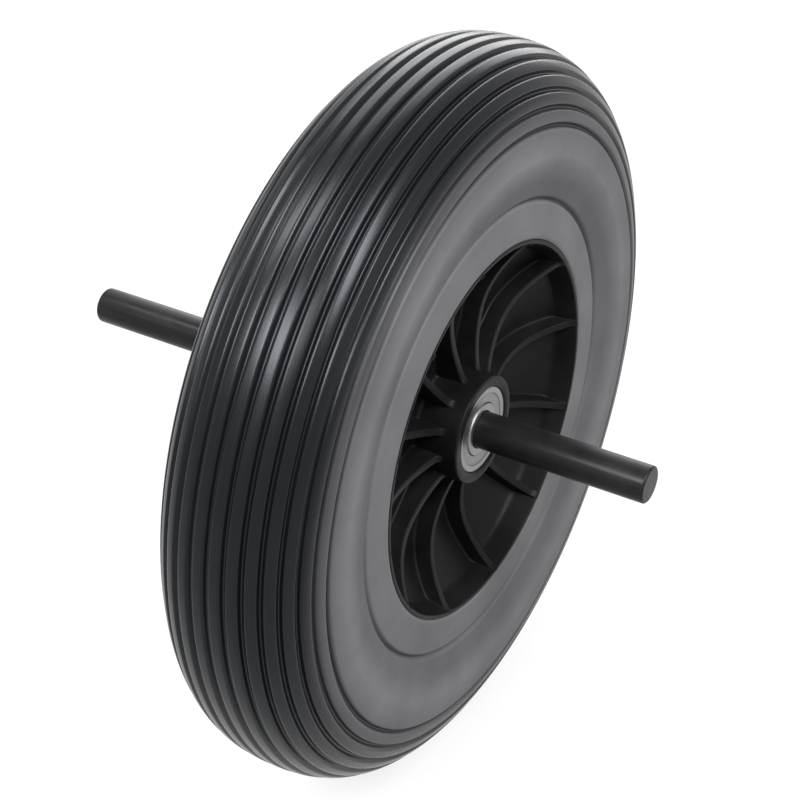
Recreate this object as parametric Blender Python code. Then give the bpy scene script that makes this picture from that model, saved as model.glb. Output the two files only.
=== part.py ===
"""Wheelbarrow wheel: a ribbed rubber tyre on a moulded plastic rim, turning on two ball bearings
on a plain steel axle.

The wheel's centre is the origin and its axis is Y, with the front of the wheel facing -Y.
All sizes are in metres.
"""

import math

import bmesh
import bpy
from mathutils import Matrix, Vector

# Clearance kept between two pieces that touch
GAP = 0.0003

# Tyre
TYRE_RADIUS = 0.200
TYRE_HALF_WIDTH = 0.0445
CROWN_HEIGHT = 0.053
CROWN_POWER = 2.5
SIDEWALL_LEAN = 0.0042
GROOVE_PITCH = 0.0091
GROOVE_WIDTH = 0.0044
GROOVE_DEPTH = 0.0027
SMOOTH_SHOULDER = 0.013
BEAD_BAND = 0.020
BEAD_LINE_WIDTH = 0.003
BEAD_LINE_DEPTH = 0.0013
BEAD_EDGE = 0.0022

# Rim barrel, which the tyre sits on
SEAT_RADIUS = 0.103
RIM_HALF_WIDTH = 0.0398
BARREL_WALL = 0.0045
LIP_THICKNESS = 0.0024
LIP_CHAMFER = 0.0006
WELL_DEPTH = 0.006
WELL_HALF_WIDTH = 0.018
WELL_SLOPE = 0.006

# Rim ribs and the dished web that they stand on
RIB_COUNT = 12
RIB_PHASE = math.radians(7.0)
RIB_CREST_WIDTH = 0.0042
RIB_ROOT_WIDTH = 0.0054
RIB_HEIGHT = 0.010
DISH_DEPTH = 0.0193
DISH_RADIUS = 0.060
CREST_SETBACK = 0.0023
HUB_CREST_DROP = 0.010
WEB_THICKNESS = 0.005
WEB_FILLET = 0.0025

# Ball bearings
BEARING_BORE_RADIUS = 0.010
BEARING_OUTER_RADIUS = 0.0235
BEARING_WIDTH = 0.014
BALL_COUNT = 8
BALL_RADIUS = 0.00397
BALL_CIRCLE_RADIUS = 0.01675
RACE_SHOULDER_DROP = 0.00245
RACE_EDGE_CHAMFER = 0.0007
CAGE_THICKNESS = 0.0030
CAGE_STRIP = 0.0007
SHIELD_THICKNESS = 0.0005
SHIELD_RECESS = 0.0004
SHIELD_CLEARANCE = 0.0004

# Hub boss
HUB_HALF_LENGTH = 0.036
HUB_WALL = 0.0057
HUB_CHAMFER = 0.0008
BEARING_RECESS = 0.0006
SEAT_SHOULDER = 0.0055

# Axle and the sleeve between the inner races
AXLE_LENGTH = 0.340
AXLE_FRONT_REACH = 0.131
AXLE_CHAMFER = 0.0012
SLEEVE_WALL = 0.0027

# Facets around the wheel, the bearings and the axle
SECTOR_STEPS = 4
WHEEL_STEPS = RIB_COUNT * SECTOR_STEPS
BEARING_STEPS = 24
AXLE_STEPS = 32
CROWN_SAMPLES = 400
RACE_STEPS = 4
POCKET_STEPS = 8
FRONT_DISH_STEPS = 3
BACK_DISH_STEPS = 2
SMOOTH_ANGLE = math.radians(32.0)

# Greys of the pressed bearing steel
SHIELD_GREY = 0.22
CAGE_GREY = 0.48

# Sizes that follow from the ones above
WIDEST_RADIUS = TYRE_RADIUS - CROWN_HEIGHT
HUB_RADIUS = BEARING_OUTER_RADIUS + GAP + HUB_WALL
HUB_BORE_RADIUS = BEARING_OUTER_RADIUS - SEAT_SHOULDER
BEARING_Y = HUB_HALF_LENGTH - BEARING_RECESS - BEARING_WIDTH / 2
BEARING_INNER_FACE_Y = BEARING_Y - BEARING_WIDTH / 2
AXLE_RADIUS = BEARING_BORE_RADIUS
INNER_RACE_RADIUS = BALL_CIRCLE_RADIUS - RACE_SHOULDER_DROP
OUTER_RACE_RADIUS = BALL_CIRCLE_RADIUS + RACE_SHOULDER_DROP + RACE_EDGE_CHAMFER
RACE_GROOVE_RADIUS = BALL_RADIUS + GAP
RIB_PITCH = math.tau / RIB_COUNT
BARREL_RADIUS = SEAT_RADIUS - BARREL_WALL
CREST_END_RADIUS = SEAT_RADIUS - (BARREL_WALL + LIP_THICKNESS) / 2 + LIP_CHAMFER / 2


def clear_scene():
    for item in list(bpy.data.objects):
        bpy.data.objects.remove(item, do_unlink=True)


def finish(name, colour, roughness, metallic=0.0):
    """Plain Principled material."""
    material = bpy.data.materials.new(name)
    material.use_nodes = True
    shader = material.node_tree.nodes["Principled BSDF"]
    shader.inputs["Base Color"].default_value = (*colour, 1.0)
    shader.inputs["Roughness"].default_value = roughness
    shader.inputs["Metallic"].default_value = metallic
    return material


def tyre_rubber():
    return finish("tyre_rubber", (0.105, 0.103, 0.110), 0.55)


def rim_plastic():
    return finish("rim_plastic", (0.007, 0.007, 0.008), 0.40)


def axle_lacquer():
    return finish("axle_lacquer", (0.010, 0.010, 0.011), 0.30)


def sleeve_steel():
    return finish("sleeve_steel", (0.42, 0.42, 0.43), 0.40, 1.0)


def race_steel(name):
    return finish(name, (0.26, 0.26, 0.265), 0.35, 1.0)


def ball_steel(name):
    return finish(name, (0.62, 0.62, 0.63), 0.12, 1.0)


def pressed_steel(name, grey):
    return finish(name, (grey, grey, grey * 1.02), 0.38, 1.0)


def bore_radius(radius, steps):
    """Corner radius of a faceted bore whose flats clear a shaft of this radius by GAP."""
    return (radius + GAP) / math.cos(math.pi / steps)


def place(name, bm, material, parent, y=0.0):
    """Turn a finished bmesh into a smooth-shaded object on the wheel's axis."""
    bmesh.ops.recalc_face_normals(bm, faces=bm.faces)
    mesh = bpy.data.meshes.new(name)
    bm.to_mesh(mesh)
    bm.free()
    mesh.shade_smooth()
    mesh.set_sharp_from_angle(angle=SMOOTH_ANGLE)
    mesh.materials.append(material)
    item = bpy.data.objects.new(name, mesh)
    item.location = (0.0, y, 0.0)
    item.parent = parent
    bpy.context.scene.collection.objects.link(item)
    return item


def turning_centre(name, y=0.0):
    """Empty on the axle's line that carries what turns together."""
    empty = bpy.data.objects.new(name, None)
    empty.empty_display_size = AXLE_RADIUS
    empty.location = (0.0, y, 0.0)
    bpy.context.scene.collection.objects.link(empty)
    return empty


def turned(section, steps):
    """Spin a closed section of (radius, y) points round the Y axis."""
    bm = bmesh.new()
    ring = [bm.verts.new((radius, y, 0.0)) for radius, y in section]
    edges = [bm.edges.new((ring[i - 1], ring[i])) for i in range(len(ring))]
    bmesh.ops.spin(
        bm,
        geom=ring + edges,
        cent=(0.0, 0.0, 0.0),
        axis=(0.0, 1.0, 0.0),
        angle=math.tau,
        steps=steps,
        use_merge=True,
    )
    return bm


# Tyre


def crown_curve():
    """Half of the tyre's outer section, from the middle of the tread to the widest place."""
    points = []
    for i in range(CROWN_SAMPLES + 1):
        turn = math.pi / 2 * i / CROWN_SAMPLES
        rise = CROWN_HEIGHT * abs(math.cos(turn)) ** (2 / CROWN_POWER)
        reach = TYRE_HALF_WIDTH * abs(math.sin(turn)) ** (2 / CROWN_POWER)
        points.append(Vector((WIDEST_RADIUS + rise, reach)))
    return points


def along(curve, distance, depth):
    """Point this far along a curve and this deep below it, as (radius, y)."""
    walked = 0.0
    for start, end in zip(curve, curve[1:]):
        step = (end - start).length
        if walked + step >= distance:
            break
        walked += step
    direction = (end - start).normalized()
    inward = Vector((-direction.y, direction.x))
    point = start + direction * (distance - walked) + inward * depth
    return point.x, point.y


def tread_half():
    """Grooved crown from the tread's middle groove out to the widest place."""
    curve = crown_curve()
    length = sum((b - a).length for a, b in zip(curve, curve[1:]))
    points = [(TYRE_RADIUS - GROOVE_DEPTH, 0.0), along(curve, GROOVE_WIDTH / 2, 0.0)]
    for i in range(1, int((length - SMOOTH_SHOULDER) / GROOVE_PITCH) + 1):
        centre = i * GROOVE_PITCH
        points.append(along(curve, centre - GROOVE_WIDTH / 2, 0.0))
        points.append(along(curve, centre, GROOVE_DEPTH))
        points.append(along(curve, centre + GROOVE_WIDTH / 2, 0.0))
    points.append((WIDEST_RADIUS, TYRE_HALF_WIDTH))
    return points


def sidewall_y(radius):
    """Half width of the tyre below its widest place, which leans in towards the rim."""
    share = (WIDEST_RADIUS - radius) / (WIDEST_RADIUS - SEAT_RADIUS)
    return TYRE_HALF_WIDTH - SIDEWALL_LEAN * share * share


def tyre():
    seat = bore_radius(SEAT_RADIUS, WHEEL_STEPS)
    line = SEAT_RADIUS + BEAD_BAND
    line_top = line + BEAD_LINE_WIDTH / 2
    line_foot = line - BEAD_LINE_WIDTH / 2
    shoulder = seat + BEAD_EDGE
    half = tread_half()
    half.append((line_top, sidewall_y(line_top)))
    half.append((line, sidewall_y(line) - BEAD_LINE_DEPTH))
    half.append((line_foot, sidewall_y(line_foot)))
    half.append((shoulder, sidewall_y(shoulder)))
    half.append((seat, RIM_HALF_WIDTH - LIP_CHAMFER))
    half.append((seat, WELL_HALF_WIDTH + WELL_SLOPE - GAP))
    half.append((seat - WELL_DEPTH, WELL_HALF_WIDTH - GAP))
    section = half + [(radius, -y) for radius, y in reversed(half[1:])]
    return turned(section, WHEEL_STEPS)


# Rim


def crest_y(radius):
    """Distance of a rib's crest from the middle plane: a dish between the hub and the lip."""
    low = RIM_HALF_WIDTH - DISH_DEPTH
    if radius >= DISH_RADIUS:
        return low + dish_bend() * (radius - DISH_RADIUS) ** 2
    rise = HUB_HALF_LENGTH - HUB_CREST_DROP - low
    return low + rise * ((DISH_RADIUS - radius) / (DISH_RADIUS - HUB_RADIUS)) ** 2


def dish_bend():
    """How fast the dish steepens between its bottom and the lip."""
    return (DISH_DEPTH - CREST_SETBACK) / (CREST_END_RADIUS - DISH_RADIUS) ** 2


def web_front_y(radius):
    """Front face of the web: flat round the hub, then following the ribs' dish."""
    return crest_y(max(radius, DISH_RADIUS)) - RIB_HEIGHT


def web_back_y(radius):
    """Back face of the web, one wall behind its front."""
    slope = 2 * dish_bend() * max(0.0, radius - DISH_RADIUS)
    return web_front_y(radius) - WEB_THICKNESS * math.sqrt(1 + slope * slope)


def spread(start, end, count):
    """Radii between two ends, without the ends."""
    return [start + (end - start) * (i + 1) / (count + 1) for i in range(count)]


def front_web():
    """Front of the web from the hub boss to the barrel."""
    floor = web_front_y(DISH_RADIUS)
    points = [(HUB_RADIUS, -floor - WEB_FILLET), (HUB_RADIUS + WEB_FILLET, -floor)]
    radii = [DISH_RADIUS, *spread(DISH_RADIUS, BARREL_RADIUS, FRONT_DISH_STEPS), BARREL_RADIUS]
    return points + [(radius, -web_front_y(radius)) for radius in radii]


def back_web():
    """Back of the barrel and the web, from the barrel's lip to the hub boss."""
    well = BARREL_RADIUS - WELL_DEPTH
    floor = web_back_y(DISH_RADIUS)
    points = [(BARREL_RADIUS, WELL_HALF_WIDTH + WELL_SLOPE), (well, WELL_HALF_WIDTH)]
    radii = [well, *spread(well, DISH_RADIUS, BACK_DISH_STEPS), DISH_RADIUS]
    points += [(radius, -web_back_y(radius)) for radius in radii]
    return points + [(HUB_RADIUS + WEB_FILLET, -floor), (HUB_RADIUS, WEB_FILLET - floor)]


def lip(side):
    """Edge of the barrel, from where a rib meets it round to the seat. side is -1 at the front."""
    return [
        (SEAT_RADIUS - LIP_THICKNESS, side * RIM_HALF_WIDTH),
        (SEAT_RADIUS - LIP_CHAMFER, side * RIM_HALF_WIDTH),
        (SEAT_RADIUS, side * (RIM_HALF_WIDTH - LIP_CHAMFER)),
        (SEAT_RADIUS, side * (WELL_HALF_WIDTH + WELL_SLOPE)),
        (SEAT_RADIUS - WELL_DEPTH, side * WELL_HALF_WIDTH),
    ]


def hub_end(side):
    """End of the hub boss, from its bore out to its side. side is -1 at the front."""
    seat = bore_radius(BEARING_OUTER_RADIUS, WHEEL_STEPS)
    return [
        (HUB_BORE_RADIUS, side * (BEARING_INNER_FACE_Y - GAP)),
        (seat, side * (BEARING_INNER_FACE_Y - GAP)),
        (seat, side * HUB_HALF_LENGTH),
        (HUB_RADIUS - HUB_CHAMFER, side * HUB_HALF_LENGTH),
        (HUB_RADIUS, side * (HUB_HALF_LENGTH - HUB_CHAMFER)),
    ]


def rib_end(radius, side):
    """Point where a rib's crest meets the hub or the barrel."""
    return [(radius, side * crest_y(radius))]


def rim_ends():
    """Groups of points that the web and the ribs share, with half a rib's width where it counts."""
    half_crest = RIB_CREST_WIDTH / 2
    return [
        (hub_end(-1), 0.0),
        (rib_end(HUB_RADIUS, -1), half_crest),
        (rib_end(CREST_END_RADIUS, -1), half_crest),
        (lip(-1) + lip(1)[::-1], 0.0),
        (rib_end(CREST_END_RADIUS, 1), half_crest),
        (rib_end(HUB_RADIUS, 1), half_crest),
        (hub_end(1)[::-1], 0.0),
    ]


def crest(start, end, count, side):
    """Crest of a rib between its two ends. side is -1 at the front."""
    return [(radius, side * crest_y(radius)) for radius in spread(start, end, count)]


def rim_column(bm, points, rib, station, half_width):
    """Vertices of one column. Stations 0 and 1 are a rib's two sides, the others lie between ribs."""
    column = []
    for radius, y in points:
        turn = (station - 0.5) * RIB_PITCH / SECTOR_STEPS
        if half_width and station < 2:
            turn = math.copysign(math.asin(half_width / radius), turn)
        angle = RIB_PHASE + rib * RIB_PITCH + turn
        column.append(bm.verts.new((radius * math.cos(angle), y, radius * math.sin(angle))))
    return column


def rim():
    """One moulding: hub boss, dished web, ribs on both sides and barrel."""
    front, back = front_web(), back_web()
    front_crest = crest(HUB_RADIUS, CREST_END_RADIUS, len(front), -1)
    back_crest = crest(CREST_END_RADIUS, HUB_RADIUS, len(back), 1)
    bm = bmesh.new()
    web_columns, rib_columns = [], []
    for rib in range(RIB_COUNT):
        for station in range(SECTOR_STEPS):
            ends = [rim_column(bm, points, rib, station, half) for points, half in rim_ends()]
            webs = [rim_column(bm, web, rib, station, RIB_ROOT_WIDTH / 2) for web in (front, back)]
            web_columns.append(join_column(ends, *webs))
            if station < 2:
                crests = [
                    rim_column(bm, line, rib, station, RIB_CREST_WIDTH / 2)
                    for line in (front_crest, back_crest)
                ]
                rib_columns.append(join_column(ends, *crests))
                side_wall(bm, [*ends[1], *webs[0], *ends[2]], [*ends[1], *crests[0], *ends[2]])
                side_wall(bm, [*ends[4], *webs[1], *ends[5]], [*ends[4], *crests[1], *ends[5]])
    for i, column in enumerate(web_columns):
        if i % SECTOR_STEPS:
            bridge(bm, column, web_columns[(i + 1) % len(web_columns)])
    for left, right in zip(rib_columns[::2], rib_columns[1::2]):
        bridge(bm, left, right)
    return bm


def join_column(ends, front, back):
    """One closed column: hub, front face, lip, barrel, back face and hub again."""
    hub_front, front_foot, front_tip, barrel, back_tip, back_foot, hub_back = ends
    return (hub_front + front_foot + front + front_tip + barrel
            + back_tip + back + back_foot + hub_back)


def bridge(bm, left, right):
    """Skin between two closed columns."""
    for i in range(len(left)):
        bm.faces.new((left[i - 1], left[i], right[i], right[i - 1]))


def side_wall(bm, foot, crest_line):
    """Side of a rib, between the web and the crest. Both lines share their two ends."""
    bm.faces.new((foot[0], foot[1], crest_line[1]))
    for i in range(1, len(foot) - 2):
        bm.faces.new((foot[i], foot[i + 1], crest_line[i + 1], crest_line[i]))
    bm.faces.new((foot[-2], foot[-1], crest_line[-2]))


# Axle


def axle():
    """Plain round bar with chamfered ends, set further to the back than to the front."""
    middle = AXLE_LENGTH / 2 - AXLE_FRONT_REACH
    lay = Matrix.Translation((0.0, middle, 0.0)) @ Matrix.Rotation(math.pi / 2, 4, "X")
    bm = bmesh.new()
    bmesh.ops.create_cone(
        bm,
        cap_ends=True,
        segments=AXLE_STEPS,
        radius1=AXLE_RADIUS,
        radius2=AXLE_RADIUS,
        depth=AXLE_LENGTH,
        matrix=lay,
    )
    caps = [face for face in bm.faces if len(face.verts) == AXLE_STEPS]
    rims = {edge for face in caps for edge in face.edges}
    bmesh.ops.bevel(bm, geom=list(rims), offset=AXLE_CHAMFER, segments=1, affect="EDGES")
    return bm


def spacer_sleeve():
    """Tube between the two inner races."""
    bore = bore_radius(AXLE_RADIUS, BEARING_STEPS)
    outer = AXLE_RADIUS + SLEEVE_WALL
    half = BEARING_INNER_FACE_Y - GAP
    return turned([(bore, -half), (bore, half), (outer, half), (outer, -half)], BEARING_STEPS)


# Ball bearing, built about its own middle plane


def race_groove(shoulder, side):
    """Half of the ball groove, from its shoulder to its bottom. side is 1 on the outer race."""
    reach = abs(shoulder - BALL_CIRCLE_RADIUS)
    start = math.acos(reach / RACE_GROOVE_RADIUS)
    points = []
    for i in range(RACE_STEPS // 2 + 1):
        turn = start * (1 - 2 * i / RACE_STEPS)
        radius = BALL_CIRCLE_RADIUS + side * RACE_GROOVE_RADIUS * math.cos(turn)
        points.append((radius, RACE_GROOVE_RADIUS * math.sin(turn)))
    return points


def race(bore_side, shoulder, side):
    """Race ring from its outer or bore surface to its grooved side."""
    half_width = BEARING_WIDTH / 2
    groove = race_groove(shoulder, side)
    half = [(bore_side, half_width - RACE_EDGE_CHAMFER)]
    half.append((bore_side - side * RACE_EDGE_CHAMFER, half_width))
    half.append((shoulder, half_width))
    half += groove
    return turned(half + [(radius, -y) for radius, y in reversed(half[:-1])], BEARING_STEPS)


def outer_race():
    return race(BEARING_OUTER_RADIUS, OUTER_RACE_RADIUS, 1)


def inner_race():
    return race(bore_radius(BEARING_BORE_RADIUS, BEARING_STEPS), INNER_RACE_RADIUS, -1)


def shield(side):
    """Thin ring that closes one face of the bearing, fixed to the outer race."""
    face = side * (BEARING_WIDTH / 2 - SHIELD_RECESS)
    back = face - side * SHIELD_THICKNESS
    inner = bore_radius(INNER_RACE_RADIUS, BEARING_STEPS) + SHIELD_CLEARANCE
    outer = OUTER_RACE_RADIUS - GAP
    return turned([(inner, face), (outer, face), (outer, back), (inner, back)], BEARING_STEPS)


def ball(position):
    bm = bmesh.new()
    angle = math.tau * position / BALL_COUNT
    centre = Vector((BALL_CIRCLE_RADIUS * math.cos(angle), 0.0, BALL_CIRCLE_RADIUS * math.sin(angle)))
    place_at = Matrix.Translation(centre)
    bmesh.ops.create_icosphere(bm, subdivisions=2, radius=BALL_RADIUS, matrix=place_at)
    return bm


def cage():
    """Ribbon cage: a flat strip with a ring round each ball, given its thickness and rolled up."""
    pocket = bore_radius(BALL_RADIUS, POCKET_STEPS)
    pitch = math.tau * BALL_CIRCLE_RADIUS / BALL_COUNT
    bm = bmesh.new()
    rings = []
    for i in range(BALL_COUNT):
        inner = pocket_ring(bm, i * pitch, pocket)
        outer = pocket_ring(bm, i * pitch, pocket + CAGE_STRIP)
        for k in range(POCKET_STEPS):
            bm.faces.new((inner[k - 1], inner[k], outer[k], outer[k - 1]))
        rings.append(outer)
    opposite = POCKET_STEPS // 2
    for ring, after in zip(rings, rings[1:] + rings[:1]):
        bm.faces.new((ring[-1], after[opposite], after[opposite - 1], ring[0]))
    flat = bmesh.ops.extrude_face_region(bm, geom=bm.faces[:])
    raised = [item for item in flat["geom"] if isinstance(item, bmesh.types.BMVert)]
    bmesh.ops.translate(bm, verts=raised, vec=(0.0, 0.0, CAGE_THICKNESS))
    for vertex in bm.verts:
        angle = vertex.co.x / BALL_CIRCLE_RADIUS
        radius = BALL_CIRCLE_RADIUS - CAGE_THICKNESS / 2 + vertex.co.z
        vertex.co = Vector((radius * math.cos(angle), vertex.co.y, radius * math.sin(angle)))
    return bm


def pocket_ring(bm, x, size):
    """Corners of one pocket outline on the flat strip, with a side square to the strip's run."""
    ring = []
    for k in range(POCKET_STEPS):
        turn = math.tau * (k + 0.5) / POCKET_STEPS
        ring.append(bm.verts.new((x + size * math.cos(turn), size * math.sin(turn), 0.0)))
    return ring


def bearing(name, side, fixed, wheel, turning):
    """One shielded ball bearing. side is -1 at the front of the wheel and 1 at the back."""
    y = side * BEARING_Y
    place(name + "_inner_race", inner_race(), race_steel(name + "_inner_race"), fixed, y)
    place(name + "_outer_race", outer_race(), race_steel(name + "_outer_race"), wheel, y)
    place(name + "_face_shield", shield(side), pressed_steel(name + "_face_shield", SHIELD_GREY), wheel, y)
    place(name + "_back_shield", shield(-side), pressed_steel(name + "_back_shield", SHIELD_GREY), wheel, y)
    place(name + "_cage", cage(), pressed_steel(name + "_cage", CAGE_GREY), turning)
    for i in range(BALL_COUNT):
        label = f"{name}_ball_{i + 1}"
        place(label, ball(i), ball_steel(label), turning)


def main():
    clear_scene()
    fixed = turning_centre("axle_line")
    wheel = turning_centre("wheel_line")
    front_turning = turning_centre("front_cage_line", -BEARING_Y)
    rear_turning = turning_centre("rear_cage_line", BEARING_Y)
    place("axle", axle(), axle_lacquer(), fixed)
    place("spacer_sleeve", spacer_sleeve(), sleeve_steel(), fixed)
    place("tyre", tyre(), tyre_rubber(), wheel)
    place("rim", rim(), rim_plastic(), wheel)
    bearing("front_bearing", -1, fixed, wheel, front_turning)
    bearing("rear_bearing", 1, fixed, wheel, rear_turning)
    bpy.context.view_layer.update()


main()
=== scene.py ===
"""Looks of the wheelbarrow wheel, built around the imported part.

The row frame is the part's own: the wheel's centre is the origin, its axis is Y, and the front
of the wheel faces -Y. All sizes are in metres, and sections are lists of (radius, y) points.
"""

import math

import bpy
from mathutils import Matrix, Vector


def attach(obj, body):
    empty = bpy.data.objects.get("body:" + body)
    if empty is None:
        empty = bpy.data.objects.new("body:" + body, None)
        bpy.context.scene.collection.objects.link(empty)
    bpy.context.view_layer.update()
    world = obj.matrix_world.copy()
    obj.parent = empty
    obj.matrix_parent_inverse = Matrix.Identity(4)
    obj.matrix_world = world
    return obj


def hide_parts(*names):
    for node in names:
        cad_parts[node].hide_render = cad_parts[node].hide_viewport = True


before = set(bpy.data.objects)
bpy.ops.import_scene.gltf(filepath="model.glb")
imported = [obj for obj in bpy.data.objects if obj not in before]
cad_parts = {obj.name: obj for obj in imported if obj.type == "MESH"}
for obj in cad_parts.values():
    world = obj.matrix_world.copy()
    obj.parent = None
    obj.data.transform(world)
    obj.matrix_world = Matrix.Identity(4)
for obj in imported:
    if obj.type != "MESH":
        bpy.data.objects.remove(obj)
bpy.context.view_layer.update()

# Clearance between two pieces, and where one piece seats on another
GAP = 0.0003
SEAT_GAP = GAP / 3

# Camera: angles in degrees, distance from the wheel's centre and the centre's shift in the picture
CAMERA_AZIMUTH = -59.5
CAMERA_ELEVATION = 34.3
CAMERA_DISTANCE = 1.0550
CAMERA_ASIDE = 0.01248
CAMERA_ABOVE = -0.005234
CAMERA_SENSOR_MM = 36.0
CAMERA_LENS_MM = 89.93

# Tyre crown, a superellipse down to the widest place
TYRE_RADIUS = 0.19998
TYRE_HALF_WIDTH = 0.0445
CROWN_HEIGHT = 0.05298
CROWN_POWER = 2.5
CROWN_SAMPLES = 900

# Tread grooves, measured along the crown. The ribs between them are slightly rounded.
GROOVE_PITCH = 0.0091
GROOVE_WIDTH = 0.0043
GROOVE_DEPTH = 0.0027
GROOVE_POWER = 0.9
GROOVE_REACH = 0.064
GROOVE_SAMPLES = 14
RIB_SAG = 0.00015

# Sidewall: how far it lies below the widest place at the bead band and at the band's foot
SIDEWALL_HOLLOW = 0.0056
HOLLOW_POWER = 1.4
SIDEWALL_LEAN = 0.0042
SIDEWALL_STEPS = 56

# Bead band, the line round it and its rounded foot
BEAD_BAND = 0.021
BEAD_LINE_WIDTH = 0.0036
BEAD_LINE_DEPTH = 0.0032
BEAD_EDGE = 0.0022
BEAD_EDGE_STEPS = 5

# Rim barrel
SEAT_RADIUS = 0.103
RIM_HALF_WIDTH = 0.0398
BARREL_WALL = 0.0045
LIP_THICKNESS = 0.0024
LIP_ROUND = 0.0006
WELL_DEPTH = 0.006
WELL_HALF_WIDTH = 0.018
WELL_SLOPE = 0.006

# Rim ribs and web
RIB_COUNT = 12
RIB_PHASE = math.radians(7.0)
RIB_CREST_WIDTH = 0.0042
RIB_ROOT_WIDTH = 0.0054
RIB_HEIGHT = 0.010
DISH_DEPTH = 0.0193
DISH_RADIUS = 0.060
CREST_SETBACK = 0.0023
HUB_CREST_DROP = 0.010
WEB_THICKNESS = 0.005
WEB_FILLET = 0.0025

# Rounded edge of a rib's crest: (distance in from the edge, drop below the crest)
CREST_EDGE = (
    (0.00065, 0.0), (0.00036, 0.00006), (0.00014, 0.00022), (0.00003, 0.00050), (0.0, 0.00090),
)
# Fillet at a rib's root: (distance out from the root, height above the web)
ROOT_FILLET = (
    (0.0, 0.00160), (0.00012, 0.00095), (0.00042, 0.00042), (0.00090, 0.00012), (0.00155, 0.0),
)
WEB_COLUMNS = 6

# Points of the ribbed face, as shares of the way from the hub to the barrel
HUB_END_SHARES = (0.0, 0.004, 0.011, 0.021, 0.034)
BARREL_END_SHARES = (0.966, 0.979, 0.989, 0.996, 1.0)
FACE_STEPS = 22
FACE_END_STEPS = 4
FACE_PASSES = 6
COLUMN_MARGIN = 0.001

# Hub boss
HUB_HALF_LENGTH = 0.036
HUB_RADIUS = 0.0295
HUB_ROUND = 0.0010
HUB_BORE_RADIUS = 0.018

# Ball bearings
BEARING_BORE_RADIUS = 0.010
BEARING_OUTER_RADIUS = 0.0235
BEARING_WIDTH = 0.014
BEARING_Y = 0.0284
BALL_COUNT = 8
BALL_RADIUS = 0.00397
BALL_CIRCLE_RADIUS = 0.01675
INNER_RACE_RADIUS = 0.0143
OUTER_RACE_RADIUS = 0.0199
RACE_ROUND = 0.0007
RACE_GROOVE_RADIUS = 0.00425
RACE_GROOVE_STEPS = 8
SHIELD_THICKNESS = 0.0004
SHIELD_RECESS = 0.0004

# Rolled outer edge of a shield: (distance in from the edge, depth below the face)
SHIELD_ROLL = (
    (0.0, 0.00008), (0.00025, 0.0), (0.0008, 0.0), (0.0011, 0.00018), (0.0014, 0.00022),
)
# Inner lip of a shield: (distance out from the edge, depth below the face)
SHIELD_LIP = ((0.0009, 0.00022), (0.0005, 0.00030), (0.0, 0.00040))

# Axle and the sleeve between the inner races
AXLE_LENGTH = 0.340
AXLE_FRONT_REACH = 0.131
AXLE_ROUND = 0.0012
AXLE_STEPS = 12
AXLE_END_SHARES = (0.3, 0.6, 0.8)
SLEEVE_WALL = 0.0027
SLEEVE_BEVEL = 0.0003

# Steps of a full turn, and of a rounded edge
TYRE_TURN = 192
BEARING_TURN = 120
AXLE_TURN = 96
BALL_TURN = 36
BALL_RINGS = 20
EDGE_STEPS = 4
LIP_STEPS = 3

# Values that a noise mostly stays between, and the ones that bring out its rings
NOISE_RANGE = (0.3, 0.7)
RING_RANGE = (0.35, 0.7)

# Rubber, with the dark and the light end of its mottle. Some of these tones carry painted shade
# and painted light.
BAND_TONES = ((0.116, 0.114, 0.122), (0.148, 0.146, 0.155))
# Painted shade: a darker tone where the sidewall's hollow lies
HOLLOW_SHADE_TONES = ((0.078, 0.077, 0.083), (0.104, 0.102, 0.109))
# Painted light: a lighter tone on the sidewall's proud shoulder
PROUD_LIGHT_TONES = ((0.130, 0.128, 0.136), (0.168, 0.166, 0.174))
RING_TONE = (0.085, 0.084, 0.092)
# Near-black tread: partly the tread's darker, glossier rubber and partly painted shade
TREAD_TONE_AND_SHADE = (0.0022, 0.0025, 0.0036)
# Painted shade in the bottoms of the tread grooves
GROOVE_SHADE_TONE = (0.005, 0.005, 0.006)
RING_STRENGTH = 0.22
GROOVE_SHADE_STRENGTH = 0.85
RUBBER_TINT = (0.90, 0.95, 1.0, 1.0)
WALL_ROUGHNESS = (0.66, 0.56)
TREAD_ROUGHNESS = (0.22, 0.32)

# Radii between which the rubber's tone passes on to the next one: into the painted shade of the
# hollow, on to the painted light of the proud shoulder and into the tread
BAND_TO_HOLLOW_SHADE = (0.122, 0.127)
HOLLOW_SHADE_TO_PROUD_LIGHT = (0.134, 0.147)
# Blend from the grey wall to the tread's tone, which is partly painted shade
WALL_TO_TREAD = (0.149, 0.177)

# Mask of the painted shade in the grooves: the shares of the crown's section between which a
# groove is darkened, and the heights over the widest place between which the mask sets in
GROOVE_EDGE = (0.988, 0.955)
GROOVE_ONSET = (0.001, 0.004)

# Rim and axle
PLASTIC_TONES = ((0.004, 0.004, 0.0045), (0.009, 0.009, 0.0095))
PLASTIC_ROUGHNESS = (0.34, 0.48)
LACQUER_TONES = ((0.005, 0.005, 0.0055), (0.009, 0.009, 0.0095))
LACQUER_RANGE = (0.35, 0.65)
LACQUER_ROUGHNESS = (0.26, 0.38)
STREAK_TONE = (0.018, 0.018, 0.019)
STREAK_RANGE = (0.4, 0.75)
STREAK_STRENGTH = 0.6
STREAK_SCALE = (900.0, 7.0, 900.0)

# Steels: (material, colour, roughness)
SLEEVE_STEEL = ("sleeve_steel", (0.42, 0.42, 0.43), 0.40)
BEARING_STEELS = {
    "races": ("race_steel", (0.26, 0.26, 0.265), 0.38),
    "balls": ("ball_steel", (0.62, 0.62, 0.63), 0.12),
    "shields": ("shield_steel", (0.22, 0.22, 0.225), 0.42),
    "cages": ("cage_steel", (0.48, 0.48, 0.49), 0.38),
}
RING_DARKENING = 0.78
SMEAR_SMOOTHER = 0.05
SMEAR_ROUGHER = 0.07

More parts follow.
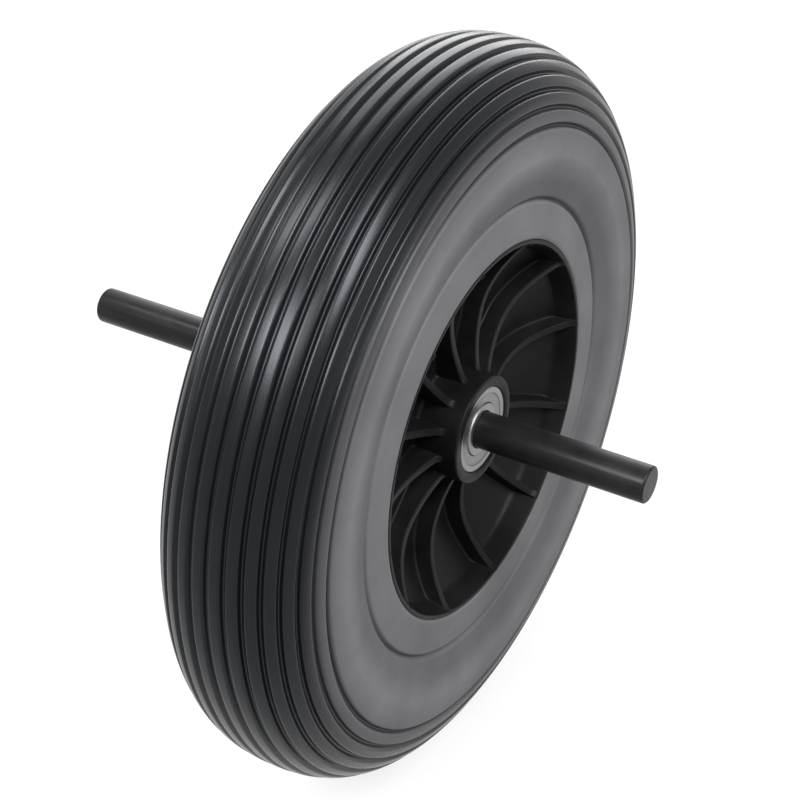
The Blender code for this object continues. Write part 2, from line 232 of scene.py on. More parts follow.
# Depth of the bumps
RUBBER_BUMP = 0.00002
PLASTIC_GRAIN_BUMP = 0.00006
PLASTIC_FLOW_BUMP = 0.00012
LACQUER_DRAW_BUMP = 0.00002
LACQUER_SKIN_BUMP = 0.00003
STEEL_RING_BUMP = 0.000008
STEEL_SMEAR_BUMP = 0.00001

# Floor: its glow grows to white with the distance from the wheel's centre
FLOOR_HALF_SIZE = 4.0
FLOOR_COLOUR = (0.14, 0.14, 0.14, 1.0)
GLOW_DISTANCE = (1.1, 3.0)
GLOW_STRENGTH = (0.82, 1.0)

# World light on surfaces, and as seen by the camera and in reflections
WORLD_LIGHT = 0.15
WORLD_WHITE = 1.0

# Lamps: (name, place, size, watts). Each one points at the wheel's centre.
LAMPS = (
    ("key", (-0.34, -1.22, 1.55), (0.7, 1.1), 50.0),
    ("side", (-1.42, 0.30, 1.38), (1.1, 0.55), 46.0),
    ("graze", (-1.26, -0.54, 1.46), (0.6, 0.7), 11.0),
    ("top", (-0.38, 0.86, 1.63), (0.4, 0.8), 15.0),
    ("over", (1.10, 0.75, 1.36), (1.2, 1.0), 12.0),
    ("bank", (1.76, 0.64, 0.64), (1.4, 1.2), 18.0),
    ("front", (0.5, -2.2, 0.5), (1.6, 1.2), 4.0),
)

# Sizes that follow from the ones above. Beyond COLUMN_REACH a rim column goes straight out.
WIDEST_RADIUS = TYRE_RADIUS - CROWN_HEIGHT
BARREL_RADIUS = SEAT_RADIUS - BARREL_WALL
LIP_RADIUS = SEAT_RADIUS - LIP_THICKNESS
CREST_END_RADIUS = SEAT_RADIUS - (BARREL_WALL + LIP_THICKNESS) / 2 + LIP_ROUND / 2
COLUMN_REACH = BARREL_RADIUS + COLUMN_MARGIN
BEARING_INNER_FACE_Y = BEARING_Y - BEARING_WIDTH / 2
RIB_PITCH = math.tau / RIB_COUNT


# Camera


def make_camera():
    """Camera at the photo's viewing angle."""
    azimuth, elevation = math.radians(CAMERA_AZIMUTH), math.radians(CAMERA_ELEVATION)
    back = Vector((
        math.sin(azimuth) * math.cos(elevation),
        -math.cos(azimuth) * math.cos(elevation),
        math.sin(elevation),
    ))
    right = Vector((math.cos(azimuth), math.sin(azimuth), 0.0))
    up = back.cross(right)
    place = back * CAMERA_DISTANCE - right * CAMERA_ASIDE - up * CAMERA_ABOVE
    turn = Matrix((right, up, back)).transposed().to_4x4()
    camera = bpy.data.objects.new("camera", bpy.data.cameras.new("camera"))
    camera.matrix_world = Matrix.Translation(place) @ turn
    camera.data.sensor_width = CAMERA_SENSOR_MM
    camera.data.lens = CAMERA_LENS_MM
    bpy.context.scene.collection.objects.link(camera)
    bpy.context.scene.camera = camera


# Mesh helpers


def add_piece(name, vertices, faces, material, body, replaced):
    """Smooth-shaded piece that rides on a body and stands for a CAD node."""
    mesh = bpy.data.meshes.new(name)
    mesh.from_pydata(vertices, [], faces)
    mesh.validate()
    mesh.materials.append(material)
    mesh.shade_smooth()
    item = bpy.data.objects.new(name, mesh)
    bpy.context.scene.collection.objects.link(item)
    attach(item, body)
    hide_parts(replaced)


def face_out(vertices, faces):
    """Flip the faces if they enclose a negative volume."""
    volume = 0.0
    for face in faces:
        a = Vector(vertices[face[0]])
        for j in range(1, len(face) - 1):
            volume += a.dot(Vector(vertices[face[j]]).cross(Vector(vertices[face[j + 1]])))
    if volume < 0:
        faces = [tuple(reversed(face)) for face in faces]
    return vertices, faces


def wrap_faces(columns, count):
    """Faces of a ring of closed columns with count points each."""
    faces = []
    for column in range(columns):
        here, after = column * count, (column + 1) % columns * count
        for i in range(count):
            j = (i + 1) % count
            faces.append((here + i, here + j, after + j, after + i))
    return faces


def turned(section, steps):
    """Vertices and faces of a closed section spun round the Y axis."""
    vertices = []
    for step in range(steps):
        turn = math.tau * step / steps
        c, s = math.cos(turn), math.sin(turn)
        vertices += [(radius * c, y, radius * s) for radius, y in section]
    return face_out(vertices, wrap_faces(steps, len(section)))


def solid_turned(profile, steps):
    """Like turned, for a profile that starts and ends on the axis."""
    ring_points = profile[1:-1]
    count = len(ring_points)
    vertices = [(0.0, profile[0][1], 0.0), (0.0, profile[-1][1], 0.0)]
    for step in range(steps):
        turn = math.tau * step / steps
        vertices += [(r * math.cos(turn), y, r * math.sin(turn)) for r, y in ring_points]
    faces = []
    for step in range(steps):
        here, after = 2 + step * count, 2 + (step + 1) % steps * count
        faces.append((0, here, after))
        for i in range(count - 1):
            faces.append((here + i, here + i + 1, after + i + 1, after + i))
        faces.append((here + count - 1, 1, after + count - 1))
    return face_out(vertices, faces)


def arc(centre, radius, start, end, steps):
    """Points of an arc in the section plane, angles in degrees from the outward radius."""
    points = []
    for i in range(steps + 1):
        turn = math.radians(start + (end - start) * i / steps)
        points.append((centre[0] + radius * math.cos(turn), centre[1] + radius * math.sin(turn)))
    return points


def mirror_section(half):
    """Closed section from its half on the +Y side. Points in the middle plane stay single."""
    return half + [(radius, -y) for radius, y in reversed(half) if y > 0]


# Tyre


def crown_curve():
    """Half of the tyre's outer section, from the middle of the tread to the widest place."""
    points = []
    for i in range(CROWN_SAMPLES + 1):
        turn = math.pi / 2 * i / CROWN_SAMPLES
        rise = CROWN_HEIGHT * abs(math.cos(turn)) ** (2 / CROWN_POWER)
        reach = TYRE_HALF_WIDTH * abs(math.sin(turn)) ** (2 / CROWN_POWER)
        points.append(Vector((WIDEST_RADIUS + rise, reach)))
    return points


def groove_depth(distance):
    """Depth of the tread at this distance from its middle, measured along the surface."""
    if distance > GROOVE_REACH + GROOVE_PITCH / 2:
        return 0.0
    from_groove = abs(distance - round(distance / GROOVE_PITCH) * GROOVE_PITCH)
    rounding = RIB_SAG * (1 - 2 * from_groove / GROOVE_PITCH) ** 2
    share = min(1.0, 2 * from_groove / GROOVE_WIDTH)
    wave = (0.5 + 0.5 * math.cos(math.pi * share)) ** GROOVE_POWER
    return rounding + (GROOVE_DEPTH - RIB_SAG) * wave


def tread_half():
    """Grooved crown from the middle of the tread to the widest place."""
    curve = crown_curve()
    points, walked, wanted = [], 0.0, 0.0
    step_size = GROOVE_PITCH / GROOVE_SAMPLES
    for start, end in zip(curve, curve[1:]):
        step = (end - start).length
        while wanted <= walked + step:
            direction = (end - start).normalized()
            inward = Vector((-direction.y, direction.x))
            place = start + direction * (wanted - walked) + inward * groove_depth(wanted)
            points.append((place.x, max(0.0, place.y)))
            wanted += step_size
        walked += step
    return points


def sidewall_y(radius):
    """Half width of the tyre below its widest place: a hollow wall, a line and the bead band."""
    band = SEAT_RADIUS + BEAD_BAND
    if radius > band:
        share = (WIDEST_RADIUS - radius) / (WIDEST_RADIUS - band)
        drop = SIDEWALL_HOLLOW * share ** HOLLOW_POWER
    else:
        drop = SIDEWALL_HOLLOW + (SIDEWALL_LEAN - SIDEWALL_HOLLOW) * (band - radius) / BEAD_BAND
    line = min(1.0, 2 * abs(radius - band) / BEAD_LINE_WIDTH)
    return TYRE_HALF_WIDTH - drop - BEAD_LINE_DEPTH * (0.5 + 0.5 * math.cos(math.pi * line))


def make_tyre(material):
    """Tyre: tread, sidewalls, rounded bead foot and the body that fills the rim's well."""
    seat = SEAT_RADIUS + SEAT_GAP
    foot = seat + BEAD_EDGE
    half = tread_half()
    start = half[-1][0]
    for i in range(1, SIDEWALL_STEPS + 1):
        radius = start + (foot - start) * i / SIDEWALL_STEPS
        half.append((radius, sidewall_y(radius)))
    edge_y = sidewall_y(foot)
    drop = edge_y - (RIM_HALF_WIDTH - LIP_ROUND)
    for i in range(1, BEAD_EDGE_STEPS):
        turn = math.pi / 2 * i / BEAD_EDGE_STEPS
        half.append((foot - BEAD_EDGE * math.sin(turn), edge_y - drop * (1 - math.cos(turn))))
    half.append((seat, edge_y - drop))
    half.append((seat, WELL_HALF_WIDTH + WELL_SLOPE - GAP))
    half.append((seat - WELL_DEPTH, WELL_HALF_WIDTH - GAP))
    vertices, faces = turned(mirror_section(half), TYRE_TURN)
    add_piece("tyre_ribbed", vertices, faces, material, "wheel", "tyre")


# Rim


def dish_bend():
    """How fast the dish steepens between its bottom and the lip."""
    return (DISH_DEPTH - CREST_SETBACK) / (CREST_END_RADIUS - DISH_RADIUS) ** 2


def crest_y(radius):
    """Distance of a rib's crest from the middle plane: a dish between the hub and the lip."""
    low = RIM_HALF_WIDTH - DISH_DEPTH
    if radius >= DISH_RADIUS:
        return low + dish_bend() * (radius - DISH_RADIUS) ** 2
    rise = HUB_HALF_LENGTH - HUB_CREST_DROP - low
    return low + rise * ((DISH_RADIUS - radius) / (DISH_RADIUS - HUB_RADIUS)) ** 2


def web_y(radius, side):
    """The web's surface, as a distance from the middle plane towards side."""
    front = crest_y(max(radius, DISH_RADIUS)) - RIB_HEIGHT
    if side < 0:
        return front
    slope = 2 * dish_bend() * max(0.0, radius - DISH_RADIUS)
    return -(front - WEB_THICKNESS * math.sqrt(1 + slope * slope))


def rim_stations():
    """Columns from a rib's middle to the middle between ribs.

    Each is (distance from the rib's middle line, share of the way to the next middle,
    drop below the crest or None, height above the web or None).
    """
    stations = [(0.0, 0.0, 0.0, None)]
    for inset, drop in CREST_EDGE:
        stations.append((RIB_CREST_WIDTH / 2 - inset, 0.0, drop, None))
    for outset, height in ROOT_FILLET:
        stations.append((RIB_ROOT_WIDTH / 2 + outset, 0.0, None, height))
    widest = stations[-1][0]
    for i in range(1, WEB_COLUMNS + 1):
        stations.append((widest, i / WEB_COLUMNS, None, 0.0))
    return stations


def column_angle(station, radius):
    """Angle of a column from its rib's middle line, held inside the hub and in the barrel."""
    distance, share = station[:2]
    near = math.asin(distance / min(max(radius, HUB_RADIUS), COLUMN_REACH))
    return near + (RIB_PITCH / 2 - near) * share


def surface_y(station, radius, side):
    """Height of the ribbed surface above the middle plane, in one column."""
    drop, height = station[2:]
    crest = crest_y(radius)
    if drop is not None:
        return crest - drop
    return min(crest, web_y(radius, side) + height)


def fillet_lift(distance, size):
    """Rise of a fillet of this size at a distance from its wall."""
    if distance >= size:
        return 0.0
    return size - math.sqrt(size * size - (size - distance) ** 2)


def face_shares():
    """Shares of the way from the hub to the barrel, close together at both ends."""
    start, end = HUB_END_SHARES[-1], BARREL_END_SHARES[0]
    middle = [start + (end - start) * i / FACE_STEPS for i in range(1, FACE_STEPS)]
    return [*HUB_END_SHARES, *middle, *BARREL_END_SHARES]


def face_end_radius(station, side):
    """Radius at which a column meets the barrel, whose inner wall leans out to the lip.

    The radius and the surface's height there depend on each other, so it takes a few passes.
    """
    floor = web_y(BARREL_RADIUS, side)
    radius = BARREL_RADIUS
    for _ in range(FACE_PASSES):
        height = surface_y(station, radius, side)
        share = (height - floor) / (RIM_HALF_WIDTH - floor)
        radius = BARREL_RADIUS + (LIP_RADIUS - BARREL_RADIUS) * min(1.0, max(0.0, share))
    return radius


def rim_face(station, side):
    """Points of one column from the hub's edge to the barrel's lip, on one side of the rim."""
    run = face_end_radius(station, side) - HUB_RADIUS
    surface = []
    for share in face_shares():
        place = HUB_RADIUS + run * share
        lift = fillet_lift(run * share, WEB_FILLET) + fillet_lift(run * (1 - share), WEB_FILLET)
        surface.append((place, surface_y(station, place, side) + lift))
    top, lip_y = HUB_HALF_LENGTH - HUB_ROUND, RIM_HALF_WIDTH - LIP_ROUND
    first, last = surface[0], surface[-1]
    wall, bank = [], []
    for i in range(1, FACE_END_STEPS):
        wall.append((HUB_RADIUS, top + (first[1] - top) * i / FACE_END_STEPS))
        radius = last[0] + (LIP_RADIUS - last[0]) * i / FACE_END_STEPS
        bank.append((radius, last[1] + (lip_y - last[1]) * i / FACE_END_STEPS))
    return wall + surface + bank


def rim_column(station):
    """Closed loop of one column's points, in order round the section."""
    lip_y = RIM_HALF_WIDTH - LIP_ROUND
    lip = arc((LIP_RADIUS + LIP_ROUND, lip_y), LIP_ROUND, 180, 90, LIP_STEPS)
    lip += arc((SEAT_RADIUS - LIP_ROUND, lip_y), LIP_ROUND, 90, 0, LIP_STEPS)
    lip += [(SEAT_RADIUS, WELL_HALF_WIDTH + WELL_SLOPE)]
    lip += [(SEAT_RADIUS - WELL_DEPTH, WELL_HALF_WIDTH)]
    seat = BEARING_OUTER_RADIUS + SEAT_GAP
    end = [(HUB_BORE_RADIUS, BEARING_INNER_FACE_Y - GAP), (seat, BEARING_INNER_FACE_Y - GAP)]
    end += [(seat, HUB_HALF_LENGTH - HUB_ROUND / 2), (seat + HUB_ROUND / 2, HUB_HALF_LENGTH)]
    edge = (HUB_RADIUS - HUB_ROUND, HUB_HALF_LENGTH - HUB_ROUND)
    end += arc(edge, HUB_ROUND, 90, 0, EDGE_STEPS)
    front = end + rim_face(station, -1) + lip
    back = end + rim_face(station, 1) + lip
    return [(radius, -y) for radius, y in front] + list(reversed(back))


def make_rim(material):
    """Rim: barrel, ribbed web and hub boss in one piece."""
    stations = rim_stations()
    ring = []
    for rib in range(RIB_COUNT):
        middle = RIB_PHASE + rib * RIB_PITCH
        ring += [(middle, -1, station) for station in reversed(stations[1:-1])]
        ring += [(middle, 1, station) for station in stations]
    vertices = []
    for middle, side, station in ring:
        for radius, y in rim_column(station):
            angle = middle + side * column_angle(station, radius)
            vertices.append((radius * math.cos(angle), y, radius * math.sin(angle)))
    faces = wrap_faces(len(ring), len(vertices) // len(ring))
    vertices, faces = face_out(vertices, faces)
    add_piece("rim_moulding", vertices, faces, material, "wheel", "rim")


# Axle and sleeve


def make_axle(material):
    """Round bar with rounded ends."""
    radius = BEARING_BORE_RADIUS
    front, back = -AXLE_FRONT_REACH, AXLE_LENGTH - AXLE_FRONT_REACH
    profile = [(0.0, front)] + [(radius * share, front) for share in AXLE_END_SHARES]
    profile += arc((radius - AXLE_ROUND, front + AXLE_ROUND), AXLE_ROUND, -90, 0, EDGE_STEPS)
    profile += [(radius, front + (back - front) * i / AXLE_STEPS) for i in range(1, AXLE_STEPS)]
    profile += arc((radius - AXLE_ROUND, back - AXLE_ROUND), AXLE_ROUND, 0, 90, EDGE_STEPS)
    profile += [(radius * share, back) for share in reversed(AXLE_END_SHARES)] + [(0.0, back)]
    vertices, faces = solid_turned(profile, AXLE_TURN)
    add_piece("axle_bar", vertices, faces, material, "axle", "axle")


def make_sleeve(material):
    """Sleeve with bevelled ends between the inner races."""
    bore, outer = BEARING_BORE_RADIUS + SEAT_GAP, BEARING_BORE_RADIUS + SLEEVE_WALL
    end = BEARING_INNER_FACE_Y - GAP
    shoulder = end - SLEEVE_BEVEL
    half = [(bore, 0.0), (bore, shoulder), (bore + SLEEVE_BEVEL, end)]
    half += [(outer - SLEEVE_BEVEL, end), (outer, shoulder), (outer, 0.0)]
    vertices, faces = turned(mirror_section(half), AXLE_TURN)
    add_piece("axle_sleeve", vertices, faces, material, "axle", "spacer_sleeve")


# Ball bearings


def race_section(wall, shoulder, side):
    """Race ring about its own middle plane. side is 1 for the outer race."""
    half_width = BEARING_WIDTH / 2
    centre = (wall - side * RACE_ROUND, half_width - RACE_ROUND)
    half = arc(centre, RACE_ROUND, 0 if side > 0 else 180, 90, EDGE_STEPS)
    edge = RACE_ROUND / 3
    half += [(shoulder + side * edge, half_width), (shoulder, half_width - edge)]
    start = math.acos(abs(shoulder - BALL_CIRCLE_RADIUS) / RACE_GROOVE_RADIUS)
    for i in range(RACE_GROOVE_STEPS + 1):
        turn = start * (1 - i / RACE_GROOVE_STEPS)
        radius = BALL_CIRCLE_RADIUS + side * RACE_GROOVE_RADIUS * math.cos(turn)
        half.append((radius, RACE_GROOVE_RADIUS * math.sin(turn)))
    return mirror_section(half)


def shield_section(side):
    """Pressed shield: a rolled outer edge, a flat and an inward lip. side faces out."""
    face = BEARING_WIDTH / 2 - SHIELD_RECESS
    inner, outer = INNER_RACE_RADIUS + GAP, OUTER_RACE_RADIUS - SEAT_GAP
    top = [(outer - inset, face - depth) for inset, depth in SHIELD_ROLL]
    top += [(inner + outset, face - depth) for outset, depth in SHIELD_LIP]
    under = [(radius, y - SHIELD_THICKNESS) for radius, y in reversed(top)]
    return [(radius, side * y) for radius, y in top + under]


def ball_mesh(centre):
    """Smooth sphere of rings round the Y direction."""
    profile = []
    for i in range(BALL_RINGS + 1):
        turn = math.pi * i / BALL_RINGS
        profile.append((BALL_RADIUS * math.sin(turn), -BALL_RADIUS * math.cos(turn)))
    vertices, faces = solid_turned(profile, BALL_TURN)
    return [tuple(Vector(vertex) + centre) for vertex in vertices], faces


def make_bearing(name, side, looks):
    """Rings and balls of one bearing. side is -1 at the front of the wheel.

    The cage keeps its CAD shape and gets a material.
    """
    bearing_y = side * BEARING_Y
    cage_body = name.replace("_bearing", "_cage")
    inner = race_section(BEARING_BORE_RADIUS + SEAT_GAP, INNER_RACE_RADIUS, -1)
    outer = race_section(BEARING_OUTER_RADIUS, OUTER_RACE_RADIUS, 1)
    rings = (
        ("inner_race", inner, "axle", "races"),
        ("outer_race", outer, "wheel", "races"),
        ("face_shield", shield_section(side), "wheel", "shields"),
        ("back_shield", shield_section(-side), "wheel", "shields"),
    )
    for label, section, body, slot in rings:
        placed = [(radius, y + bearing_y) for radius, y in section]
        vertices, faces = turned(placed, BEARING_TURN)
        node = f"{name}_{label}"
        add_piece(f"{node}_ring", vertices, faces, looks[slot], body, node)
    for i in range(BALL_COUNT):
        turn = math.tau * i / BALL_COUNT
        centre = Vector((math.cos(turn), 0.0, math.sin(turn))) * BALL_CIRCLE_RADIUS
        vertices, faces = ball_mesh(centre + Vector((0.0, bearing_y, 0.0)))
        node = f"{name}_ball_{i + 1}"
        add_piece(f"{node}_round", vertices, faces, looks["balls"], cage_body, node)
    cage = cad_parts[f"{name}_cage"]
    cage.data.materials.clear()
    cage.data.materials.append(looks["cages"])


# Materials


class Look:
    """Principled material with helpers for the noise that drives it."""

    def __init__(self, name, roughness, metallic=0.0, specular=0.5):
        self.material = bpy.data.materials.new(name)
        self.material.use_nodes = True
        self.nodes = self.material.node_tree.nodes
        self.links = self.material.node_tree.links
        self.shader = self.nodes["Principled BSDF"]
        self.shader.inputs["Roughness"].default_value = roughness
        self.shader.inputs["Metallic"].default_value = metallic
        self.shader.inputs["Specular IOR Level"].default_value = specular
        self.place = self.nodes.new("ShaderNodeTexCoord").outputs["Object"]

    def feed(self, socket, value):
        """Link a socket's value, or set a plain one."""
        if isinstance(value, bpy.types.NodeSocket):
            self.links.new(value, socket)
        else:
            socket.default_value = value

    def math(self, operation, *values):
        node = self.nodes.new("ShaderNodeMath")
        node.operation = operation
        for socket, value in zip(node.inputs, values):
            self.feed(socket, value)
        return node.outputs[0]

    def vector(self, x, y, z=0.0):
        node = self.nodes.new("ShaderNodeCombineXYZ")
        for socket, value in zip(node.inputs, (x, y, z)):
            self.feed(socket, value)
        return node.outputs[0]

    def axes(self):
        """The place's X, Y and Z."""
        node = self.nodes.new("ShaderNodeSeparateXYZ")
        self.links.new(self.place, node.inputs[0])
        return node.outputs

    def across(self):
        """Position along the Y axis."""
        return self.axes()["Y"]

    def stretched(self, scale):
        """Object coordinates scaled by axis."""
        node = self.nodes.new("ShaderNodeVectorMath")
        node.operation = "MULTIPLY"
        self.links.new(self.place, node.inputs[0])
        node.inputs[1].default_value = scale
        return node.outputs[0]

    def length(self, vector):
        node = self.nodes.new("ShaderNodeVectorMath")
        node.operation = "LENGTH"
        self.links.new(vector, node.inputs[0])
        return node.outputs["Value"]

    def radius(self):
        """Distance from the Y axis."""
        return self.length(self.stretched((1.0, 0.0, 1.0)))

    def noise(self, place, scale, detail=4.0, roughness=0.55):
        node = self.nodes.new("ShaderNodeTexNoise")
        self.links.new(place, node.inputs["Vector"])
        node.inputs["Scale"].default_value = scale
        node.inputs["Detail"].default_value = detail
        node.inputs["Roughness"].default_value = roughness
        return node.outputs["Fac"]

    def rings(self, scale, detail=3.0):
        """Noise that depends on the radius and y alone, as on a turned surface."""
        out = self.math("MULTIPLY", self.radius(), scale)
        along = self.math("MULTIPLY", self.across(), scale)
        return self.noise(self.vector(out, along), 1.0, detail)

    def streaks(self, along, across, detail=3.0):
        """Noise that runs in streaks round the Y axis."""
        axes = self.axes()
        angle = self.math("MULTIPLY", self.math("ARCTAN2", axes["Z"], axes["X"]), along)
        out = self.math("MULTIPLY", self.radius(), across)
        aside = self.math("MULTIPLY", self.across(), across)
        return self.noise(self.vector(angle, out, aside), 1.0, detail)

    def spread(self, value, source, result=(0.0, 1.0)):
        """Map a range onto another, held at its ends."""
        node = self.nodes.new("ShaderNodeMapRange")
        self.links.new(value, node.inputs["Value"])
        for label, number in zip(("From Min", "From Max", "To Min", "To Max"), (*source, *result)):
            node.inputs[label].default_value = number
        return node.outputs["Result"]

    def blend(self, factor, first, second):
        """Mix of two colours, each a tuple or a socket."""
        node = self.nodes.new("ShaderNodeMix")
        node.data_type = "RGBA"
        self.feed(node.inputs["Factor"], factor)
        for label, value in (("A", first), ("B", second)):
            socket = [s for s in node.inputs if s.name == label and s.type == "RGBA"][0]
            self.feed(socket, (*value, 1.0) if isinstance(value, tuple) else value)
        return [s for s in node.outputs if s.type == "RGBA"][0]

    def colour(self, value):
        self.links.new(value, self.shader.inputs["Base Color"])

    def rough(self, value):
        self.links.new(value, self.shader.inputs["Roughness"])

    def bump(self, *layers):
        """Bump of (height, depth in metres) layers, one on the other."""
        normal = None
        for height, depth in layers:
            node = self.nodes.new("ShaderNodeBump")
            node.inputs["Distance"].default_value = depth
            self.links.new(height, node.inputs["Height"])
            if normal is not None:
                self.links.new(normal, node.inputs["Normal"])
            normal = node.outputs["Normal"]
        self.links.new(normal, self.shader.inputs["Normal"])


def groove_shade_mask(look):
    """Mask of the painted shade in the grooves: 1 at the bottom of a tread groove and 0 on the
    ribs and the sidewalls.
    """
    across = look.math("DIVIDE", look.math("ABSOLUTE", look.across()), TYRE_HALF_WIDTH)
    rise = look.math("SUBTRACT", look.radius(), WIDEST_RADIUS)
    up = look.math("DIVIDE", look.math("MAXIMUM", rise, 0.0), CROWN_HEIGHT)
    powers = [look.math("POWER", value, CROWN_POWER) for value in (across, up)]
    share = look.math("POWER", look.math("ADD", *powers), 1 / CROWN_POWER)
    return look.math("MULTIPLY", look.spread(share, GROOVE_EDGE), look.spread(rise, GROOVE_ONSET))


def tyre_rubber():
    """Rubber: a matt grey sidewall with painted shade in its hollow and painted light on its proud
    shoulder, and a black, shiny tread whose near-black tone is partly painted shade, with painted
    shade in its grooves.
    """
    look = Look("rubber", roughness=0.5, specular=0.21)
    look.shader.inputs["Specular Tint"].default_value = RUBBER_TINT
    mottle = look.noise(look.place, scale=22.0, detail=6.0, roughness=0.6)
    rings = look.rings(scale=1500.0)
    brushed = look.streaks(along=5.0, across=700.0)
    grain = look.noise(look.place, scale=1900.0, detail=2.0)
    radius = look.radius()
    share = look.spread(mottle, NOISE_RANGE)
    # The hollow's tones are painted shade and the proud shoulder's are painted light
    band, hollow, proud_lit = (
        look.blend(share, *tones) for tones in (BAND_TONES, HOLLOW_SHADE_TONES, PROUD_LIGHT_TONES)
    )
    wall = look.blend(look.spread(radius, BAND_TO_HOLLOW_SHADE), band, hollow)
    wall = look.blend(look.spread(radius, HOLLOW_SHADE_TO_PROUD_LIGHT), wall, proud_lit)
    wall = look.blend(look.spread(rings, RING_RANGE, (0.0, RING_STRENGTH)), wall, RING_TONE)
    # Blend to the tread's near-black tone, which is partly painted shade
    tread = look.spread(radius, WALL_TO_TREAD)
    colour = look.blend(tread, wall, TREAD_TONE_AND_SHADE)
    # Painted shade in the groove bottoms
    groove = look.math("MULTIPLY", groove_shade_mask(look), GROOVE_SHADE_STRENGTH)
    look.colour(look.blend(groove, colour, GROOVE_SHADE_TONE))
    matt = look.spread(mottle, NOISE_RANGE, WALL_ROUGHNESS)
    shine = look.spread(brushed, NOISE_RANGE, TREAD_ROUGHNESS)
    difference = look.math("SUBTRACT", shine, matt)
    look.rough(look.math("ADD", matt, look.math("MULTIPLY", tread, difference)))
    look.bump((rings, RUBBER_BUMP), (grain, RUBBER_BUMP), (brushed, RUBBER_BUMP))
    return look.material


def rim_plastic():
    """Black moulded plastic with a fine grain and faint flow marks."""
    look = Look("moulded_plastic", roughness=0.42, specular=0.08)
    flow = look.noise(look.place, scale=34.0, detail=5.0, roughness=0.6)
    grain = look.noise(look.place, scale=2300.0, detail=2.0)
    look.colour(look.blend(look.spread(flow, NOISE_RANGE), *PLASTIC_TONES))
    look.rough(look.spread(flow, NOISE_RANGE, PLASTIC_ROUGHNESS))
    look.bump((grain, PLASTIC_GRAIN_BUMP), (flow, PLASTIC_FLOW_BUMP))
    return look.material


def axle_lacquer():
    """Steel bar under a thin black lacquer: faint drawn streaks along it and a satin shine."""
    look = Look("black_lacquer", roughness=0.32, specular=0.13)
    draw = look.noise(look.stretched(STREAK_SCALE), scale=1.0)
    skin = look.noise(look.place, scale=60.0, detail=6.0, roughness=0.65)
    base = look.blend(look.spread(skin, LACQUER_RANGE), *LACQUER_TONES)
    streak = look.spread(draw, STREAK_RANGE, (0.0, STREAK_STRENGTH))
    look.colour(look.blend(streak, base, STREAK_TONE))
    look.rough(look.spread(skin, NOISE_RANGE, LACQUER_ROUGHNESS))
    look.bump((draw, LACQUER_DRAW_BUMP), (skin, LACQUER_SKIN_BUMP))
    return look.material


def turned_steel(name, colour, roughness):
    """Ground or pressed steel with fine rings."""
    look = Look(name, roughness, metallic=1.0)
    rings = look.rings(scale=5200.0, detail=2.0)
    smear = look.noise(look.place, scale=240.0)
    darker = tuple(channel * RING_DARKENING for channel in colour)
    look.colour(look.blend(look.spread(rings, RING_RANGE), colour, darker))
    smears = (roughness - SMEAR_SMOOTHER, roughness + SMEAR_ROUGHER)
    look.rough(look.spread(smear, NOISE_RANGE, smears))
    look.bump((rings, STEEL_RING_BUMP), (smear, STEEL_SMEAR_BUMP))
    return look.material


# Floor and light


def shown_ray(nodes, links):
    """1 for rays from the camera, and for reflections and what is seen through glass."""
    path = nodes.new("ShaderNodeLightPath")
    total = path.outputs["Is Camera Ray"]
    for label in ("Is Glossy Ray", "Is Transmission Ray"):
        node = nodes.new("ShaderNodeMath")
        node.operation = "MAXIMUM"
        links.new(total, node.inputs[0])
        links.new(path.outputs[label], node.inputs[1])
        total = node.outputs[0]
    return total


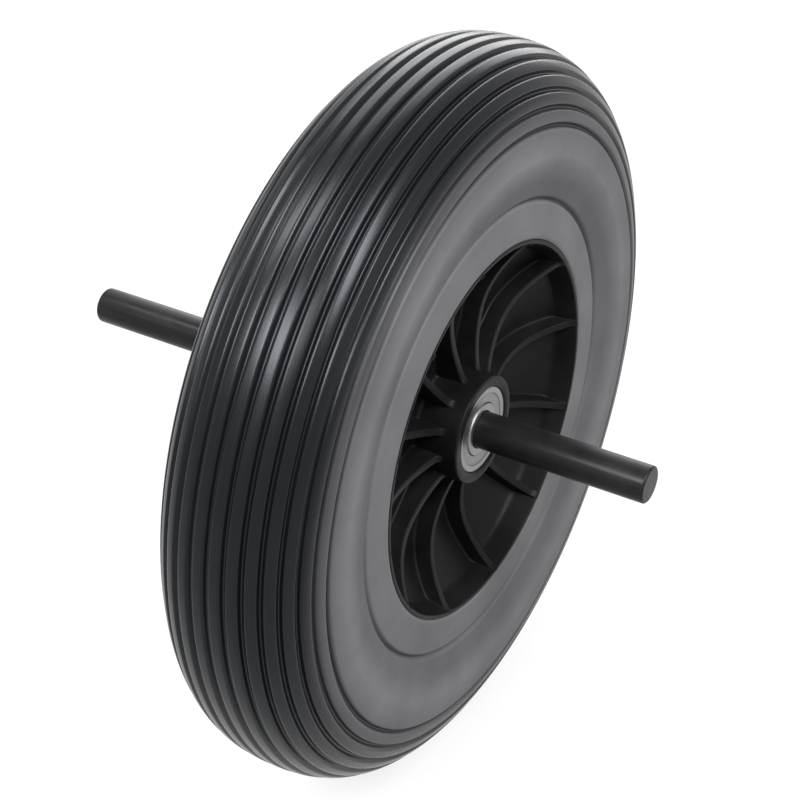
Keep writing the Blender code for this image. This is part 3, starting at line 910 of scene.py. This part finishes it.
def floor_material():
    """Pale floor that reads white, keeps the shadow and ends in the white of the distance."""
    look = Look("floor", roughness=0.9, specular=0.0)
    look.shader.inputs["Base Color"].default_value = FLOOR_COLOUR
    diffuse = look.shader.outputs[0]
    glow = look.nodes.new("ShaderNodeEmission")
    fade = look.spread(look.length(look.place), GLOW_DISTANCE, GLOW_STRENGTH)
    look.links.new(fade, glow.inputs["Strength"])
    add = look.nodes.new("ShaderNodeAddShader")
    look.links.new(diffuse, add.inputs[0])
    look.links.new(glow.outputs[0], add.inputs[1])
    mix = look.nodes.new("ShaderNodeMixShader")
    look.links.new(shown_ray(look.nodes, look.links), mix.inputs[0])
    look.links.new(diffuse, mix.inputs[1])
    look.links.new(add.outputs[0], mix.inputs[2])
    look.links.new(mix.outputs[0], look.nodes["Material Output"].inputs["Surface"])
    return look.material


def make_floor():
    """Floor just under the wheel."""
    size, level = FLOOR_HALF_SIZE, -TYRE_RADIUS - GAP
    corners = [(-size, -size), (size, -size), (size, size), (-size, size)]
    mesh = bpy.data.meshes.new("floor")
    mesh.from_pydata([(x, y, level) for x, y in corners], [], [(0, 1, 2, 3)])
    mesh.materials.append(floor_material())
    floor = bpy.data.objects.new("floor", mesh)
    bpy.context.scene.collection.objects.link(floor)


def make_world():
    """White surroundings for the camera and reflections, soft grey light for the rest."""
    world = bpy.data.worlds.new("studio")
    bpy.context.scene.world = world
    world.use_nodes = True
    nodes, links = world.node_tree.nodes, world.node_tree.links
    strength = nodes.new("ShaderNodeMapRange")
    links.new(shown_ray(nodes, links), strength.inputs["Value"])
    strength.inputs["To Min"].default_value = WORLD_LIGHT
    strength.inputs["To Max"].default_value = WORLD_WHITE
    background = nodes["Background"]
    background.inputs["Color"].default_value = (1.0, 1.0, 1.0, 1.0)
    links.new(strength.outputs["Result"], background.inputs["Strength"])


def make_lamp(name, place, size, power):
    """Soft lamp that points at the wheel's centre."""
    light = bpy.data.lights.new(name, "AREA")
    light.shape = "RECTANGLE"
    light.size, light.size_y = size
    light.energy = power
    lamp = bpy.data.objects.new(name, light)
    lamp.location = place
    lamp.rotation_euler = (-Vector(place)).to_track_quat("-Z", "Y").to_euler()
    bpy.context.scene.collection.objects.link(lamp)


def main():
    bpy.context.scene.view_settings.view_transform = "Standard"
    make_camera()
    make_tyre(tyre_rubber())
    make_rim(rim_plastic())
    make_axle(axle_lacquer())
    make_sleeve(turned_steel(*SLEEVE_STEEL))
    looks = {slot: turned_steel(*steel) for slot, steel in BEARING_STEELS.items()}
    make_bearing("front_bearing", -1, looks)
    make_bearing("rear_bearing", 1, looks)
    make_floor()
    make_world()
    for lamp in LAMPS:
        make_lamp(*lamp)


main()
